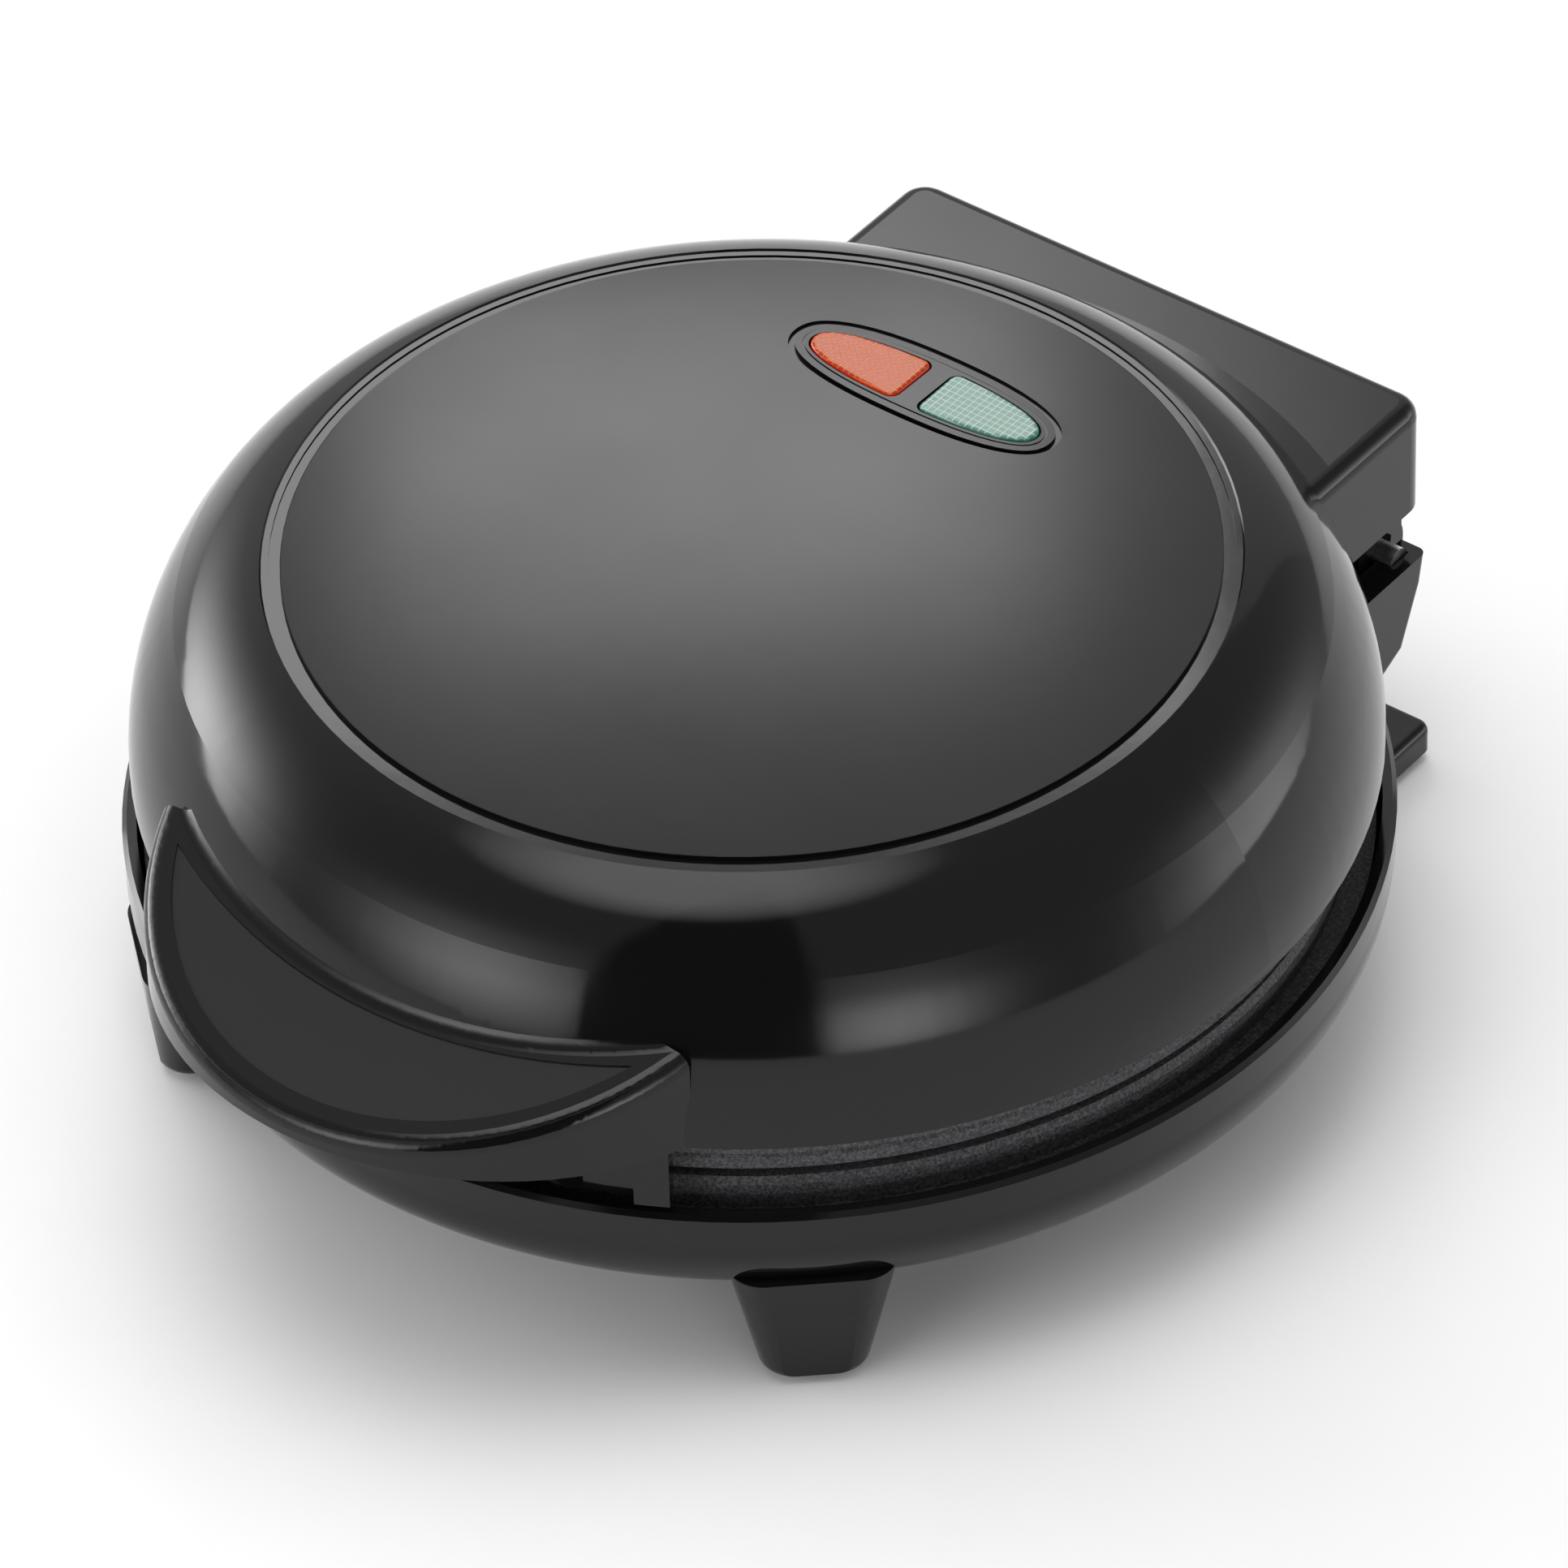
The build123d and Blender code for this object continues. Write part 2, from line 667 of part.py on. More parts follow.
def base_hinge_block():
    """The block behind the tub, whose cheeks hold the hinge pins."""
    steps = [(base_block_back - dy, base_block_top - dz) for dy, dz in base_block_steps]
    side = Polyline(
        (base_block_front, base_block_top), (base_block_back, base_block_top), *steps,
        (base_block_foot_y, base_block_bottom), (base_block_front, base_block_bottom),
        (base_block_front, base_block_top),
    )
    body = extrude(Plane.YZ * make_face(side), base_block_half, both=True)
    ends = body.faces().sort_by(Axis.X)
    near = base_block_foot_y - 1
    edges = (ends[0].edges() + ends[-1].edges()).filter_by_position(Axis.Y, near, base_block_back + 1)
    return fillet(edges, base_block_round)


def hinge_slots(body):
    """Cut the room for the knuckles, the pin bores and the cable well."""
    room = barrel_radius + hinge_gap
    for side in (-1, 1):
        x0, x1 = sorted((side * (knuckle_inner - side_gap), side * (knuckle_outer + side_gap)))
        body -= cross_rod(x0, x1, hinge_y, hinge_z, room)
        body -= block(x0, x1, hinge_y - room, hinge_y + 20, hinge_z, base_block_top + 5)
        pin_start = knuckle_inner - pin_inner_hold - pin_end_play
        pin_end = knuckle_outer + pin_outer_hold + pin_end_play
        p0, p1 = sorted((side * pin_start, side * pin_end))
        body -= cross_rod(p0, p1, hinge_y, hinge_z, pin_radius + pin_play)
    body -= cross_rod(-cable_well_half, cable_well_half, hinge_y, hinge_z, cable_well_radius)
    well_front = hinge_y - cable_well_radius
    body -= block(-cable_well_half, cable_well_half, well_front, hinge_y + 20, hinge_z, base_block_top + 5)
    return body


def front_foot():
    """One tapered foot with round corners and a shallow framed outer face."""
    size = (front_foot_width, front_foot_depth)
    top_size = (front_foot_top_width, front_foot_depth + 4)
    corner = front_foot_corner
    low = Pos(0, -front_foot_radius, front_foot_low_z) * RectangleRounded(*size, corner)
    top = Pos(0, -front_foot_radius, front_foot_top_z) * RectangleRounded(*top_size, corner)
    foot = loft([low, top])
    foot = fillet(foot.faces().sort_by(Axis.Z)[0].edges(), foot_round)
    face_y = -front_foot_radius - front_foot_depth / 2 + foot_frame_depth
    low_cut = Pos(0, face_y - 5, front_foot_low_z) * Rectangle(front_foot_width - 2 * foot_frame, 10)
    top_cut = Pos(0, face_y - 7, front_foot_frame_z) * Rectangle(front_foot_top_width - 3 * foot_frame, 10)
    return foot - loft([low_cut, top_cut])


def rear_foot():
    """One rear foot: a low toe that reaches out past the hinge block."""
    inner, outer = rear_foot_inner, rear_foot_outer
    toe = block(inner, outer, rear_foot_front, rear_foot_back, pad_height, rear_foot_height)
    toe = fillet(toe.edges().filter_by(Axis.Z), foot_round)
    toe = fillet(toe.faces().sort_by(Axis.Z)[-1].edges(), rear_foot_top_round)
    leg_top = base_block_bottom + 3
    leg = block(inner + 2, outer - 4, rear_foot_front - 6, rear_foot_back - 8, pad_height + 1, leg_top)
    leg = fillet(leg.edges().filter_by(Axis.Z), foot_round)
    return toe + leg


def foot_places(shape_front, shape_rear):
    """Turn and mirror a front and a rear piece to the four corners."""
    placed = [Rot(0, 0, angle) * shape_front for angle in (front_foot_angle, -front_foot_angle)]
    return placed + both_sides(shape_rear)


def base_posts():
    """Posts on the floor below the plate's bosses, with recessed screw holes."""
    for x, y in boss_places:
        floor = base_floor_z if abs(x) < base_floor_radius else base_knee_z - 2
        yield x, y, floor


def base_shell():
    """The lower casing with its hinge block and feet, moulded in one piece."""
    shell = base_outer() + base_hinge_block()
    for foot in foot_places(front_foot(), rear_foot()):
        shell += foot
    for pad in foot_places(front_pad(), rear_pad()):
        shell -= pad
    shell -= base_cavity()
    for x, y, floor in base_posts():
        shell += rod(x, y, floor + 0.5, lower_shield_z, base_post_radius)
        shell -= rod(x, y, floor - 5, floor + screw_seat, screw_head_radius + 0.4)
        shell -= rod(x, y, floor - 5, lower_shield_z + 1, screw_radius + 0.2)
    shell = hinge_slots(shell)
    shell -= block(-cable_well_half, cable_well_half, base_radius - 10, hinge_y + 1, gland_z - 5, hinge_z)
    shell -= Pos(0, gland_back, gland_z) * Rot(90, 0, 0) * Cylinder(gland_radius + gland_play, 26)
    return shell


def cord_gland():
    """A bushing in the back of the hinge block."""
    place = Pos(0, gland_back - gland_length / 2, gland_z) * Rot(90, 0, 0)
    return place * (Cylinder(gland_radius, gland_length) - Cylinder(gland_bore, gland_length + 2))


def front_pad():
    """A round-cornered pad let into the sole of a front foot."""
    wide = front_foot_width - 2 * foot_round - 1
    deep = front_foot_depth - 2 * foot_round - 1
    outline = RectangleRounded(wide, deep, front_foot_corner - foot_round)
    return Pos(0, -front_foot_radius, 0) * extrude(outline, pad_height)


def rear_pad():
    """The pad under a rear foot."""
    pad = block(
        rear_foot_inner + pad_inset, rear_foot_outer - pad_inset,
        rear_foot_front + pad_inset, rear_foot_back - pad_inset, 0, pad_height,
    )
    return fillet(pad.edges().filter_by(Axis.Z), pad_corner)


def hinge_pins():
    """Two steel pins through the knuckles, held in the base's cheeks."""
    x0, x1 = knuckle_inner - pin_inner_hold, knuckle_outer + pin_outer_hold
    return both_sides(cross_rod(x0, x1, hinge_y, hinge_z, pin_radius))


def wire(points, bend):
    """An insulated lead: straight runs joined by round bends."""
    path = FilletPolyline(*points, radius=bend)
    start = Plane(origin=path @ 0, z_dir=path % 0)
    return sweep(start * Circle(lead_radius), path=path)


def group(pieces):
    """Separate solids that share one file."""
    return Compound(children=list(pieces))


def upper_clip(y, seat, fuse_z):
    """The sheet clip that holds the fuse down on the upper shield."""
    inner = bracket_depth - clip_wall + 0.4
    outer = inner + clip_wall
    clip = block(-clip_half, clip_half, y - outer, y + outer, seat, fuse_z + 2.9 + clip_wall)
    return clip - block(-clip_half - 1, clip_half + 1, y - inner, y + inner, seat - 1, fuse_z + 2.9)


def lid_leads(end_x, end_y):
    """Two leads from the upper heater, across the lid and down at the hinge."""
    top = upper_element_z + upper_terminal + element_radius
    run_z = top + 5.6
    drop_y = hinge_y - 1.5
    leads = []
    for side in (-1, 1):
        x = 4.0 * side
        points = [
            (side * end_x, end_y, top + 0.1), (side * end_x, end_y, run_z), (x, end_y + 14, run_z),
            (x, drop_y, hinge_block_top - 6.8), (x, drop_y, hinge_z + 3.2),
        ]
        leads.append(wire(points, 3.0))
    return leads


def base_leads():
    """Two leads from the cord entry down to the terminal block."""
    floor = base_inner_floor_z
    y0 = terminal_front + terminal_depth + 0.4
    leads = []
    for x in (-1.4, 1.4):
        points = [
            (x, gland_back - 6.0, gland_z - 0.8), (x, gland_back - 11.0, gland_z - 1.3),
            (x * 2, y0 + 10.2, floor + 7.3), (x * 3, y0 + 2.8, floor + 4.3), (x * 3, y0, floor + 3.4),
        ]
        leads.append(wire(points, 2.6))
    return leads


def thermostat_bracket():
    """A sheet bridge that stands on the floor and carries the thermostat."""
    top = lower_shield_z - thermostat_height
    bracket = block(-bracket_half, bracket_half, -bracket_depth, bracket_depth, top - bracket_sheet, top)
    for x in (-bracket_half, bracket_half - clip_wall):
        bracket += block(x, x + clip_wall, -bracket_depth, bracket_depth, base_inner_floor_z, top)
    return bracket


def terminal_block():
    """A block on the floor with three screw wells for the leads."""
    floor = base_inner_floor_z
    back = terminal_front + terminal_depth
    body = block(-terminal_half, terminal_half, terminal_front, back, floor, floor + terminal_height)
    for x in (-terminal_pitch, 0, terminal_pitch):
        body -= rod(x, terminal_front + terminal_depth / 2, floor + 3, floor + 8, terminal_hole)
    return body


def make_lid():
    """Make and save every piece that swings with the lid."""
    save(lid_shell(), "lid_shell")
    save(lens(-1), "lens_power")
    save(lens(1), "lens_ready")
    save(lamp_holder(), "lamp_holder")
    save(group(pilot_lamps()), "pilot_lamps")
    save(plate(upper_face_z, upper_pocket_depth, True), "upper_plate")
    heater, end_x, end_y = element(upper_element_z, True)
    save(heater, "upper_element")
    ends = [(end_x, end_y), (-end_x, end_y)]
    save(shield(upper_shield_z, boss_places + lid_post_places, ends), "upper_heat_shield")
    seat = upper_shield_z + shield_thickness
    save(group(screw(x, y, seat, screw_bite + 0.5, False) for x, y in boss_places), "upper_plate_screws")
    save(group(screw(x, y, upper_shield_z, 7.5, True) for x, y in lid_post_places), "lid_post_screws")
    fuse_z = seat + fuse_radius + 0.4
    save(cross_rod(-fuse_length / 2, fuse_length / 2, end_y, fuse_z, fuse_radius), "upper_thermal_fuse")
    save(upper_clip(end_y, seat, fuse_z), "upper_fuse_clip")
    save(group(lid_leads(end_x, end_y)), "lid_leads")


def make_base():
    """Make and save every piece that stays with the base."""
    save(base_shell(), "base_shell")
    save(group(foot_places(front_pad(), rear_pad())), "foot_pads")
    save(cord_gland(), "cord_gland")
    save(group(hinge_pins()), "hinge_pins")
    save(plate(lower_face_z, lower_pocket_depth, False), "lower_plate")
    heater, end_x, end_y = element(lower_element_z, False)
    save(heater, "lower_element")
    ends = [(end_x, end_y), (-end_x, end_y)]
    save(shield(lower_shield_z, boss_places, ends), "lower_heat_shield")
    screws = []
    for x, y, floor in base_posts():
        seat = floor + screw_seat
        screws.append(screw(x, y, seat, lower_shield_z + screw_bite - seat, True))
    save(group(screws), "base_screws")
    save(rod(0, 0, lower_shield_z - thermostat_height, lower_shield_z, thermostat_radius), "thermostat")
    save(thermostat_bracket(), "thermostat_bracket")
    save(terminal_block(), "terminal_block")
    low_fuse_z = lower_shield_z - fuse_radius - 0.2
    save(cross_rod(18, 18 + fuse_length, 30, low_fuse_z, fuse_radius), "lower_thermal_fuse")
    save(group(base_leads()), "base_leads")


make_lid()
make_base()
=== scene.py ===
"""Looks of a two-pocket omelette maker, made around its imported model."""

import math

import bmesh
import bpy
from mathutils import Matrix, Vector


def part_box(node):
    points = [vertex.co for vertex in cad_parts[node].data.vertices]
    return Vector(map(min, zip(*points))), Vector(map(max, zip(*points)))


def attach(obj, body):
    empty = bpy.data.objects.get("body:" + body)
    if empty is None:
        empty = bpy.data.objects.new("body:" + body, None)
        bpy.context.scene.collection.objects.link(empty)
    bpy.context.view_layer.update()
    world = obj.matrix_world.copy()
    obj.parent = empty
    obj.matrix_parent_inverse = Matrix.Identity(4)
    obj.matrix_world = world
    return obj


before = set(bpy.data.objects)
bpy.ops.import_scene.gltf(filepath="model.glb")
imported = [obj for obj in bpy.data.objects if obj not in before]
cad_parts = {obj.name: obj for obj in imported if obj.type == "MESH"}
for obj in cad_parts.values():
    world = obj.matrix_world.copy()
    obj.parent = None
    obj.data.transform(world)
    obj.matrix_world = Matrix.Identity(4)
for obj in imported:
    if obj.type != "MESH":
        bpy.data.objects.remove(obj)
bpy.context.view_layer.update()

MM = 0.001

# Places in the frame
BODY_Y = (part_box("lower_plate")[0].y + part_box("lower_plate")[1].y) / 2
FLOOR_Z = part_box("foot_pads")[0].z
LID_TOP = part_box("lid_shell")[1].z

# The lid, repeated from the model and measured from the body's axis
LID_RADIUS = 103.0 * MM
LID_HEIGHT = 39.3 * MM
LID_EDGE_Z = 51.7 * MM
DISC_RADIUS = LID_RADIUS - 26.5 * MM
CROWN_FLAT = 4.0 * MM
CROWN_RISE = 1.9 * MM
BLOCK_TOP_Z = LID_EDGE_Z + 0.486 * LID_HEIGHT
TIP_Y = 16.0 * MM - LID_RADIUS
PANEL_Z = LID_EDGE_Z + 0.466 * LID_HEIGHT
PANEL_SINK = 0.35 * MM
PANEL_SLOPE = math.radians(17.6)

# How far from their own faces the casing's three finishes reach
DISC_MARGIN = 0.2 * MM
DISC_DEPTH = 4.0 * MM
BLOCK_CLEAR = 1.0 * MM
BLOCK_DEPTH = 0.2 * MM
PANEL_CLEAR = 1.0 * MM
PANEL_BAND = 0.06 * MM

# Roughness that each finish adds to the gloss
DISC_SATIN = 0.10
BLOCK_SATIN = 0.13
PANEL_MATT = 0.27

# The skin on the disc: its lift, its mesh and the part of the disc that it covers
SKIN_LIFT = 0.006 * MM
SKIN_RINGS = 51
SKIN_TURNS = 120
SKIN_MIDDLE = 16.0 * MM
SKIN_HALF = 14.0 * MM

# Lens pattern: the prisms' pitch and how far the clouds go towards the pale colour
PRISM_PITCH = 1.25 * MM
CLOUD_SHARE = 0.3

# Lenses: material, node, colours of the painted side tint (painted light and shade), depth and prism lines,
# and the painted glow of a lens that is no lamp
LENSES = [
    ("lens_red", "lens_power", (0.40, 0.010, 0.001), (0.26, 0.020, 0.002), (0.62, 0.14, 0.020), 0.14),
    ("lens_green", "lens_ready", (0.012, 0.12, 0.08), (0.065, 0.145, 0.12), (0.36, 0.52, 0.45), 0.10),
]

# Plain finishes: material, dark and light colour, roughness range, grain in mm, relief, metallic, nodes
FINISHES = [
    ("inner_plastic", (0.03, 0.03, 0.03), (0.05, 0.05, 0.05), (0.45, 0.60), 0.4, 0.20, 0.0,
     ["lamp_holder", "cord_gland"]),
    ("lamp_glass", (0.85, 0.82, 0.78), (0.95, 0.92, 0.90), (0.05, 0.12), 1.0, 0.05, 0.0,
     ["pilot_lamps"]),
    ("heater_steel", (0.22, 0.20, 0.19), (0.38, 0.35, 0.32), (0.35, 0.50), 0.6, 0.15, 1.0,
     ["upper_element", "lower_element"]),
    ("shield_sheet", (0.62, 0.63, 0.64), (0.78, 0.79, 0.80), (0.20, 0.35), 0.8, 0.06, 1.0,
     ["upper_heat_shield", "lower_heat_shield"]),
    ("screw_steel", (0.50, 0.50, 0.49), (0.70, 0.70, 0.69), (0.25, 0.40), 0.3, 0.10, 1.0,
     ["upper_plate_screws", "lid_post_screws", "base_screws", "hinge_pins"]),
    ("fuse_body", (0.45, 0.42, 0.38), (0.62, 0.59, 0.55), (0.30, 0.45), 0.3, 0.10, 1.0,
     ["upper_thermal_fuse", "lower_thermal_fuse"]),
    ("bracket_steel", (0.50, 0.50, 0.50), (0.66, 0.66, 0.66), (0.30, 0.45), 0.5, 0.08, 1.0,
     ["upper_fuse_clip", "thermostat_bracket"]),
    ("ceramic_body", (0.74, 0.70, 0.62), (0.84, 0.80, 0.73), (0.30, 0.40), 0.5, 0.08, 0.0,
     ["thermostat", "terminal_block"]),
    ("pad_rubber", (0.018, 0.018, 0.018), (0.035, 0.035, 0.035), (0.60, 0.75), 0.5, 0.30, 0.0,
     ["foot_pads"]),
]

# The photograph's camera, found by fitting the lid, groove and hinge block
AZIMUTH = math.radians(38.28)
ELEVATION = math.radians(40.24)
ROLL = math.radians(-1.69)
DISTANCE = 2000.7 * MM
ASIDE = 4.40 * MM
UP_BY = -8.98 * MM
FOCAL_PX = 15032.0
IMAGE_PX = 1932.0
SENSOR_MM = 36.0
CLIP_END = 50.0

# The room: its level, and soft patches as azimuth, elevation, half width, half height and level
WORLD_LEVEL = 0.34
SOFT_PATCHES = [
    (-82, 6, 17, 18, 9.0),
    (-12, 16, 20, 15, 4.2),
    (60, 9, 14, 13, 4.2),
    (135, 2, 20, 18, 3.6),
    (-142, 42, 50, 40, 0.55),
]

# The dark side of the room: its azimuth, half width and soft edge, and the share of the level left there
DARK_AZIMUTH = math.radians(27)
DARK_HALF = math.radians(19)
DARK_EDGE = math.radians(4)
DARK_LEVEL = 0.03

# The box overhead: its direction, the cosines between which it fades in, and its level
TOP_WAY = (-0.10, -0.05, 0.993)
TOP_FADE = (0.925, 0.985)
TOP_LEVEL = 3.0

# The lamps: a key that glows on the disc to the left of its middle and behind it, and a fill from above
GLOW_PLACE = Vector((-38 * MM, BODY_Y + 26 * MM, LID_TOP))
KEY_WAY = Vector((-0.501, 0.627, 0.620))
KEY_DISTANCE = 0.9
KEY_SIZE = (0.25, 0.20)
KEY_WATTS = 0.72
FILL_PLACE = Vector((0, 0, 2.4))
FILL_SIZE = (3.0, 3.0)
FILL_WATTS = 22.0

FLOOR_REACH = 4.0


def new_material(name):
    """A fresh node material, its node tree and its shader."""
    material = bpy.data.materials.new(name)
    material.use_nodes = True
    return material, material.node_tree, material.node_tree.nodes["Principled BSDF"]


def feed(tree, socket, value):
    """Put a number or a colour on a socket, or link another node's output to it."""
    if isinstance(value, bpy.types.NodeSocket):
        tree.links.new(value, socket)
    elif isinstance(value, tuple):
        socket.default_value = (*value, 1)
    else:
        socket.default_value = value


def math_node(tree, kind, first, second=0.0):
    """One sum, product, function or comparison."""
    node = tree.nodes.new("ShaderNodeMath")
    node.operation = kind
    feed(tree, node.inputs[0], first)
    feed(tree, node.inputs[1], second)
    return node.outputs["Value"]


def squares(tree, first, second):
    """The sum of two squares."""
    one = math_node(tree, "POWER", first, 2.0)
    other = math_node(tree, "POWER", second, 2.0)
    return math_node(tree, "ADD", one, other)


def all_of(tree, *masks):
    """One mask where several masks meet."""
    whole = masks[0]
    for mask in masks[1:]:
        whole = math_node(tree, "MULTIPLY", whole, mask)
    return whole


def mix_node(tree, factor, first, second):
    """Mix two colours by a factor."""
    mix = tree.nodes.new("ShaderNodeMix")
    mix.data_type = "RGBA"
    feed(tree, mix.inputs["Factor"], factor)
    feed(tree, mix.inputs["A"], first)
    feed(tree, mix.inputs["B"], second)
    return mix.outputs["Result"]


def range_node(tree, value, low, high, from_low=0.35, from_high=0.65):
    """Stretch a value from one range onto another."""
    stretch = tree.nodes.new("ShaderNodeMapRange")
    feed(tree, stretch.inputs["Value"], value)
    stretch.inputs["From Min"].default_value = from_low
    stretch.inputs["From Max"].default_value = from_high
    stretch.inputs["To Min"].default_value = low
    stretch.inputs["To Max"].default_value = high
    return stretch.outputs["Result"]


def split_node(tree, vector):
    """The three parts of a vector."""
    parts = tree.nodes.new("ShaderNodeSeparateXYZ")
    tree.links.new(vector, parts.inputs["Vector"])
    return parts.outputs["X"], parts.outputs["Y"], parts.outputs["Z"]


def object_place(tree):
    """Places on the object in metres."""
    return tree.nodes.new("ShaderNodeTexCoord").outputs["Object"]


def scaled_place(tree, per_metre):
    """Places on the object, scaled so that a pattern has a real size."""
    mapping = tree.nodes.new("ShaderNodeMapping")
    mapping.inputs["Scale"].default_value = (per_metre, per_metre, per_metre)
    tree.links.new(object_place(tree), mapping.inputs["Vector"])
    return mapping.outputs["Vector"]


def noise_node(tree, per_metre, detail, rough=0.5):
    """Noise with a real grain size."""
    noise = tree.nodes.new("ShaderNodeTexNoise")
    noise.inputs["Scale"].default_value = 1.0
    noise.inputs["Detail"].default_value = detail
    noise.inputs["Roughness"].default_value = rough
    tree.links.new(scaled_place(tree, per_metre), noise.inputs["Vector"])
    return noise.outputs["Fac"]


def bump(tree, shader, height, strength, distance):
    """Fine relief from a height value."""
    node = tree.nodes.new("ShaderNodeBump")
    node.inputs["Strength"].default_value = strength
    node.inputs["Distance"].default_value = distance
    tree.links.new(height, node.inputs["Height"])
    tree.links.new(node.outputs["Normal"], shader.inputs["Normal"])


def plain_finish(name, dark, light, rough, grain, relief, metallic):
    """A material whose colour, roughness and relief all vary with one grain size."""
    material, tree, shader = new_material(name)
    fine = noise_node(tree, per_metre=1 / grain, detail=3.0)
    coarse = noise_node(tree, per_metre=1 / (grain * 12), detail=2.0)
    feed(tree, shader.inputs["Base Color"], mix_node(tree, fine, dark, light))
    feed(tree, shader.inputs["Roughness"], range_node(tree, coarse, *rough))
    shader.inputs["Metallic"].default_value = metallic
    bump(tree, shader, fine, strength=relief, distance=grain / 2)
    return material


def disc_mask(tree, radius, z):
    """The crowned disc inside the groove."""
    inside = math_node(tree, "LESS_THAN", radius, DISC_RADIUS - DISC_MARGIN)
    high = math_node(tree, "GREATER_THAN", z, LID_TOP - DISC_DEPTH)
    return all_of(tree, inside, high)


def block_mask(tree, radius, y, z):
    """The flat top of the hinge block, behind the dome."""
    outside = math_node(tree, "GREATER_THAN", radius, LID_RADIUS + BLOCK_CLEAR)
    high = math_node(tree, "GREATER_THAN", z, BLOCK_TOP_Z - BLOCK_DEPTH)
    behind = math_node(tree, "GREATER_THAN", y, 0.0)
    return all_of(tree, outside, high, behind)


def panel_mask(tree, y, z):
    """The sunken panel of the handle, which lies on one sloping plane."""
    along = math_node(tree, "MULTIPLY", math_node(tree, "SUBTRACT", y, TIP_Y), -math.sin(PANEL_SLOPE))
    above = math_node(tree, "MULTIPLY", math_node(tree, "SUBTRACT", z, PANEL_Z), math.cos(PANEL_SLOPE))
    height = math_node(tree, "ADD", along, above)
    off = math_node(tree, "ADD", height, PANEL_SINK * math.cos(PANEL_SLOPE))
    near = math_node(tree, "LESS_THAN", math_node(tree, "ABSOLUTE", off), PANEL_BAND)
    ahead = math_node(tree, "LESS_THAN", y, TIP_Y - PANEL_CLEAR)
    return all_of(tree, near, ahead)


def casing_material():
    """Black moulded plastic: glossy, satin on the disc and the hinge block, matt on the handle's panel."""
    material, tree, shader = new_material("casing_black")
    x, frame_y, z = split_node(tree, object_place(tree))
    y = math_node(tree, "SUBTRACT", frame_y, BODY_Y)
    radius = math_node(tree, "SQRT", squares(tree, x, y))
    finishes = [
        (disc_mask(tree, radius, z), DISC_SATIN),
        (block_mask(tree, radius, y, z), BLOCK_SATIN),
        (panel_mask(tree, y, z), PANEL_MATT),
    ]
    cloud = noise_node(tree, per_metre=22, detail=2.0)
    rough = range_node(tree, cloud, low=0.075, high=0.105)
    for mask, more in finishes:
        rough = math_node(tree, "ADD", rough, math_node(tree, "MULTIPLY", mask, more))
    feed(tree, shader.inputs["Roughness"], rough)
    speck = noise_node(tree, per_metre=1400, detail=2.0)
    colour = mix_node(tree, speck, (0.0035, 0.0035, 0.0037), (0.0055, 0.0054, 0.0055))
    feed(tree, shader.inputs["Base Color"], colour)
    shader.inputs["Specular IOR Level"].default_value = 0.33
    ripple = noise_node(tree, per_metre=160, detail=2.0)
    bump(tree, shader, ripple, strength=0.008, distance=1 * MM)
    return material


def plate_material():
    """Dark non-stick coating with a coarse sparkling grain."""
    material, tree, shader = new_material("plate_coating")
    grain = noise_node(tree, per_metre=1900, detail=5.0, rough=0.75)
    sparkle = range_node(tree, grain, low=0.0, high=1.0, from_low=0.42, from_high=0.70)
    colour = mix_node(tree, sparkle, (0.018, 0.018, 0.020), (0.15, 0.15, 0.16))
    feed(tree, shader.inputs["Base Color"], colour)
    feed(tree, shader.inputs["Roughness"], range_node(tree, grain, low=0.34, high=0.62))
    bump(tree, shader, grain, strength=0.45, distance=0.3 * MM)
    return material


def lens_material(name, painted_side_tint, deep, pale, painted_glow):
    """Tinted clear plastic with a fine grid of prisms inside, its sides painted a deeper tint as painted
    light and shade, and a painted glow.
    """
    material, tree, shader = new_material(name)
    x, y, _ = split_node(tree, scaled_place(tree, 1 / PRISM_PITCH))
    across = math_node(tree, "PINGPONG", x, 0.5)
    along = math_node(tree, "PINGPONG", y, 0.5)
    grid = math_node(tree, "MINIMUM", across, along)
    line = range_node(tree, grid, low=1.0, high=0.0, from_low=0.05, from_high=0.15)
    cloud = noise_node(tree, per_metre=900, detail=2.0)
    clouded = tuple((1 - CLOUD_SHARE) * d + CLOUD_SHARE * p for d, p in zip(deep, pale))
    face = mix_node(tree, line, mix_node(tree, cloud, deep, clouded), pale)
    # Painted light and shade: faces that turn away from straight up take the deeper side tint, which the
    # plastic itself does not have
    normal = tree.nodes.new("ShaderNodeNewGeometry").outputs["Normal"]
    _, _, upward = split_node(tree, normal)
    level = range_node(tree, upward, low=0.0, high=1.0, from_low=0.55, from_high=0.97)
    colour = mix_node(tree, level, painted_side_tint, face)
    feed(tree, shader.inputs["Base Color"], colour)
    # Painted light: the lens glows with its own colour, though it is no lamp
    feed(tree, shader.inputs["Emission Color"], colour)
    shader.inputs["Emission Strength"].default_value = painted_glow
    shader.inputs["Roughness"].default_value = 0.10
    shader.inputs["Transmission Weight"].default_value = 0.15
    shader.inputs["IOR"].default_value = 1.49
    shader.inputs["Specular IOR Level"].default_value = 0.3
    bump(tree, shader, line, strength=0.15, distance=0.2 * MM)
    return material


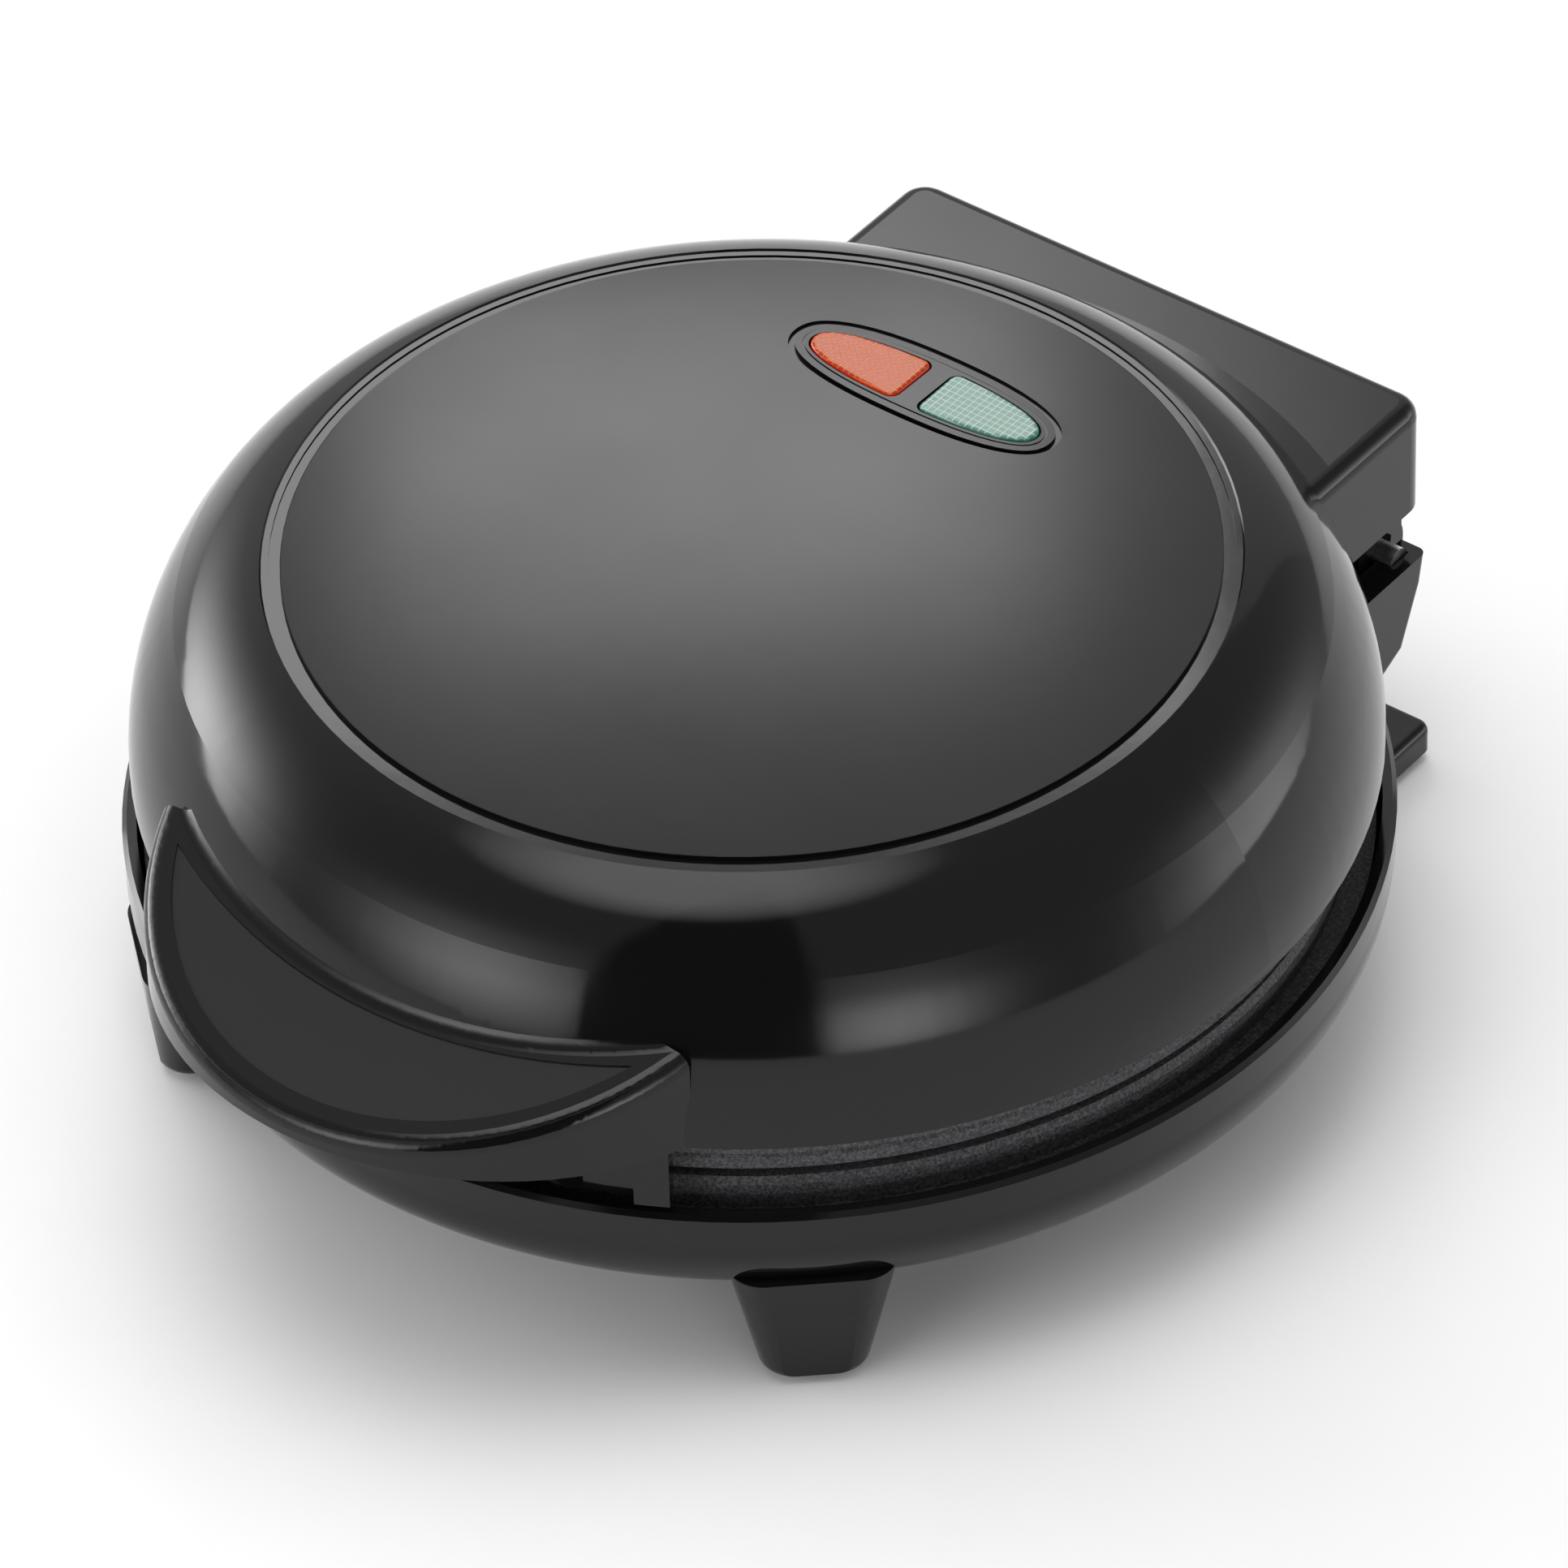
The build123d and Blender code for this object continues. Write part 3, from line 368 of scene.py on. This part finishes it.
def sleeve_material():
    """Braided heat-proof sleeve on the leads."""
    material, tree, shader = new_material("lead_cover")
    wave = tree.nodes.new("ShaderNodeTexWave")
    wave.wave_type = "BANDS"
    wave.bands_direction = "DIAGONAL"
    wave.inputs["Scale"].default_value = 1.0
    wave.inputs["Distortion"].default_value = 1.5
    tree.links.new(scaled_place(tree, 400), wave.inputs["Vector"])
    braid = wave.outputs["Fac"]
    feed(tree, shader.inputs["Base Color"], mix_node(tree, braid, (0.16, 0.15, 0.14), (0.30, 0.28, 0.26)))
    shader.inputs["Roughness"].default_value = 0.7
    bump(tree, shader, braid, strength=0.4, distance=0.3 * MM)
    return material


def dress(material, *nodes):
    """Give a material to CAD nodes."""
    for name in nodes:
        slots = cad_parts[name].data.materials
        slots.clear()
        slots.append(material)


def skin_point(radius, angle):
    """A point just above the crowned disc, which is flat in its middle and falls as a parabola."""
    run = max(radius - CROWN_FLAT, 0.0) / (DISC_RADIUS - CROWN_FLAT)
    height = LID_TOP - CROWN_RISE * run * run + SKIN_LIFT
    return radius * math.cos(angle), BODY_Y + radius * math.sin(angle), height


def skin_covers(radius, angle):
    """Whether the skin reaches a place: the disc's middle and a strip to its right edge."""
    strip = math.cos(angle) > 0 and abs(radius * math.sin(angle)) < SKIN_HALF
    return strip or radius < SKIN_MIDDLE


def crown_finish(material):
    """A smooth skin on part of the disc, over a line that shows in the shading of its mesh."""
    ring_step = (DISC_RADIUS - DISC_MARGIN) / SKIN_RINGS
    turn_step = 2 * math.pi / SKIN_TURNS
    shape = bmesh.new()
    rings = []
    for ring in range(1, SKIN_RINGS):
        places = [skin_point(ring * ring_step, turn * turn_step) for turn in range(SKIN_TURNS)]
        rings.append([shape.verts.new(place) for place in places])
    shape.faces.new(rings[0])
    for ring, (inner, outer) in enumerate(zip(rings, rings[1:]), start=1):
        for turn in range(SKIN_TURNS):
            if skin_covers((ring + 0.5) * ring_step, (turn + 0.5) * turn_step):
                after = (turn + 1) % SKIN_TURNS
                shape.faces.new((inner[turn], outer[turn], outer[after], inner[after]))
    for face in shape.faces:
        face.smooth = True
    spare = [vert for vert in shape.verts if not vert.link_faces]
    bmesh.ops.delete(shape, geom=spare, context="VERTS")
    mesh = bpy.data.meshes.new("crown_finish")
    shape.to_mesh(mesh)
    shape.free()
    mesh.materials.append(material)
    skin = bpy.data.objects.new("crown_finish", mesh)
    bpy.context.scene.collection.objects.link(skin)
    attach(skin, "lid")


def dress_all():
    """Every CAD node gets its finish."""
    casing = casing_material()
    dress(casing, "lid_shell", "base_shell")
    crown_finish(casing)
    dress(plate_material(), "upper_plate", "lower_plate")
    for name, node, painted_side_tint, deep, pale, painted_glow in LENSES:
        dress(lens_material(name, painted_side_tint, deep, pale, painted_glow), node)
    for name, dark, light, rough, grain, relief, metallic, nodes in FINISHES:
        dress(plain_finish(name, dark, light, rough, grain * MM, relief, metallic), *nodes)
    dress(sleeve_material(), "lid_leads", "base_leads")


def make_camera():
    """A long lens that looks down on the lid from the front right."""
    level = Vector((math.cos(AZIMUTH), math.sin(AZIMUTH), 0))
    ahead = Vector((-math.sin(AZIMUTH), math.cos(AZIMUTH), 0))
    back = Vector((0, 0, math.sin(ELEVATION))) - ahead * math.cos(ELEVATION)
    raised = back.cross(level)
    right = level * math.cos(ROLL) + raised * math.sin(ROLL)
    up = raised * math.cos(ROLL) - level * math.sin(ROLL)
    eye = Vector((0, BODY_Y, LID_EDGE_Z)) + right * ASIDE + up * UP_BY + back * DISTANCE
    data = bpy.data.cameras.new("camera")
    data.sensor_width = SENSOR_MM
    data.lens = FOCAL_PX / IMAGE_PX * SENSOR_MM
    data.clip_end = CLIP_END
    camera = bpy.data.objects.new("camera", data)
    turn = Matrix((right, up, back)).transposed()
    camera.matrix_world = Matrix.Translation(eye) @ turn.to_4x4()
    bpy.context.scene.collection.objects.link(camera)
    bpy.context.scene.camera = camera


def soft_patch(tree, turn, lift, azimuth, elevation, wide, tall, level):
    """A soft bright patch of the room, at an azimuth from the front and an elevation."""
    aside = math_node(tree, "SUBTRACT", turn, math.radians(azimuth))
    across = math_node(tree, "MULTIPLY", aside, 1 / math.radians(wide))
    above = math_node(tree, "SUBTRACT", lift, math.radians(elevation))
    upward = math_node(tree, "MULTIPLY", above, 1 / math.radians(tall))
    spread = squares(tree, across, upward)
    fade = math_node(tree, "EXPONENT", math_node(tree, "MULTIPLY", spread, -1.0))
    return math_node(tree, "MULTIPLY", fade, level)


def make_world():
    """A grey room with soft patches all round, a dark side in front and to the right, and a box overhead."""
    world = bpy.data.worlds.new("room")
    bpy.context.scene.world = world
    world.use_nodes = True
    tree = world.node_tree
    way = tree.nodes.new("ShaderNodeTexCoord").outputs["Generated"]
    x, y, z = split_node(tree, way)
    turn = math_node(tree, "ARCTAN2", x, math_node(tree, "MULTIPLY", y, -1.0))
    lift = math_node(tree, "ARCSINE", z)
    level = WORLD_LEVEL
    for patch in SOFT_PATCHES:
        level = math_node(tree, "ADD", level, soft_patch(tree, turn, lift, *patch))
    aside = math_node(tree, "ABSOLUTE", math_node(tree, "SUBTRACT", turn, DARK_AZIMUTH))
    lit = range_node(tree, aside, DARK_LEVEL, 1.0, DARK_HALF, DARK_HALF + DARK_EDGE)
    level = math_node(tree, "MULTIPLY", level, lit)
    over = tree.nodes.new("ShaderNodeVectorMath")
    over.operation = "DOT_PRODUCT"
    tree.links.new(way, over.inputs[0])
    over.inputs[1].default_value = TOP_WAY
    box = range_node(tree, over.outputs["Value"], 0.0, TOP_LEVEL, *TOP_FADE)
    level = math_node(tree, "ADD", level, box)
    background = tree.nodes["Background"]
    background.inputs["Color"].default_value = (1, 1, 1, 1)
    feed(tree, background.inputs["Strength"], level)


def make_floor():
    """A plain pale floor."""
    corners = [
        (-FLOOR_REACH, -FLOOR_REACH, FLOOR_Z), (FLOOR_REACH, -FLOOR_REACH, FLOOR_Z),
        (FLOOR_REACH, FLOOR_REACH, FLOOR_Z), (-FLOOR_REACH, FLOOR_REACH, FLOOR_Z),
    ]
    mesh = bpy.data.meshes.new("floor")
    mesh.from_pydata(corners, [], [(0, 1, 2, 3)])
    floor = bpy.data.objects.new("floor", mesh)
    bpy.context.scene.collection.objects.link(floor)
    material, tree, shader = new_material("floor_paint")
    grain = noise_node(tree, per_metre=60, detail=2.0)
    feed(tree, shader.inputs["Base Color"], mix_node(tree, grain, (0.90, 0.90, 0.90), (0.92, 0.92, 0.92)))
    shader.inputs["Roughness"].default_value = 0.9
    shader.inputs["Specular IOR Level"].default_value = 0.1
    mesh.materials.append(material)


def area_light(name, place, aim, size, watts, in_gloss=True):
    """A soft rectangular lamp that faces a point."""
    data = bpy.data.lights.new(name, "AREA")
    data.shape = "RECTANGLE"
    data.size, data.size_y = size
    data.energy = watts
    lamp = bpy.data.objects.new(name, data)
    lamp.location = place
    lamp.rotation_euler = (aim - place).to_track_quat("-Z", "Y").to_euler()
    lamp.visible_glossy = in_gloss
    bpy.context.scene.collection.objects.link(lamp)


def make_lights():
    """A close soft key for the disc, and a fill that no gloss mirrors."""
    area_light("key", GLOW_PLACE + KEY_WAY * KEY_DISTANCE, GLOW_PLACE, KEY_SIZE, KEY_WATTS)
    area_light("fill", FILL_PLACE, Vector((0, 0, 0)), FILL_SIZE, FILL_WATTS, in_gloss=False)


dress_all()
make_camera()
make_world()
make_floor()
make_lights()
bpy.context.scene.view_settings.view_transform = "Standard"
